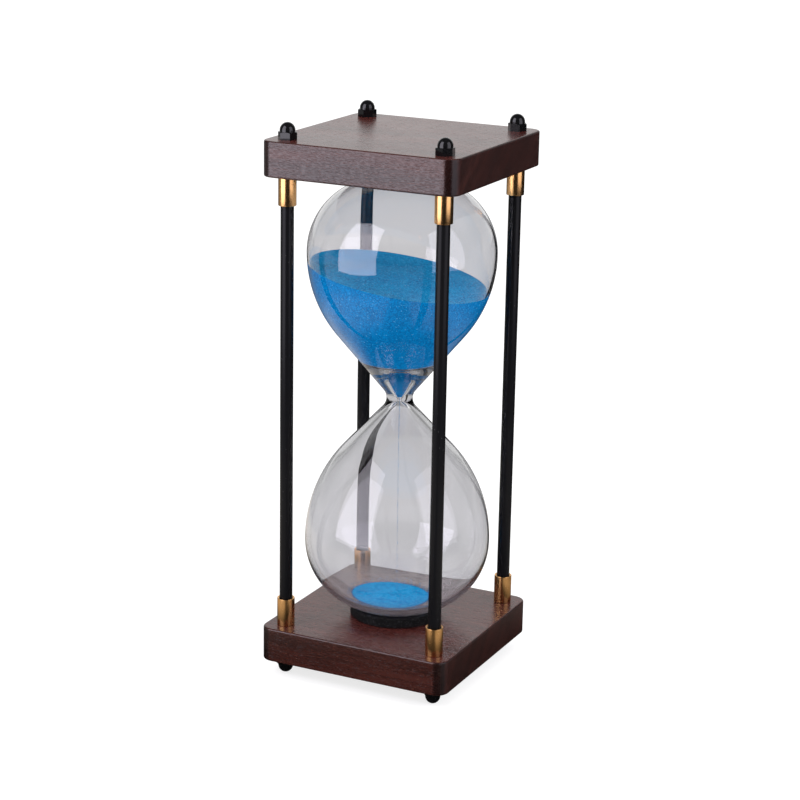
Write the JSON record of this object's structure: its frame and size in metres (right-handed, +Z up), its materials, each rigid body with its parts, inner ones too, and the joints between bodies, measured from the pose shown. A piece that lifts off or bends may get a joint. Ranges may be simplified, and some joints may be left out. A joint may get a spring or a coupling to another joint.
{
  "type": "hourglass",
  "caption": "Sand timer with blown glass bulbs between square wooden plates, held by slender metal posts with brass ferrules and acorn nuts.",
  "frame": {"origin": "centre of the four feet, on the table that the lower acorn nuts' domes touch", "axes": "+Z up along the glass's axis, -Y the front face of the plates, +X to the right of it"},
  "size_m": [0.1, 0.1, 0.2728],
  "materials": {
    "wood": "dark reddish brown, satin lacquer",
    "glass": "clear, polished",
    "foam": "black open-cell foam",
    "sand": "dyed blue, fine grains with a slight sparkle",
    "black_tube": "satin black",
    "steel_rod": "zinc-plated thread",
    "brass": "polished",
    "black_nut": "gloss black plating"
  },
  "bodies": {
    "root": {"base_plate": "wood", "top_plate": "wood", "glass": "glass", "lower_pad": "foam", "upper_pad": "foam", "lower_sand": "sand", "upper_sand": "sand", "sand_stream": "sand", "post_front_left": "black_tube", "post_front_right": "black_tube", "post_back_right": "black_tube", "post_back_left": "black_tube", "tie_rod_front_left": "steel_rod", "tie_rod_front_right": "steel_rod", "tie_rod_back_right": "steel_rod", "tie_rod_back_left": "steel_rod", "lower_ferrule_front_left": "brass", "lower_ferrule_front_right": "brass", "lower_ferrule_back_right": "brass", "lower_ferrule_back_left": "brass", "upper_ferrule_front_left": "brass", "upper_ferrule_front_right": "brass", "upper_ferrule_back_right": "brass", "upper_ferrule_back_left": "brass", "lower_nuts": "black_nut", "upper_nuts": "black_nut"}
  },
  "joints": []
}
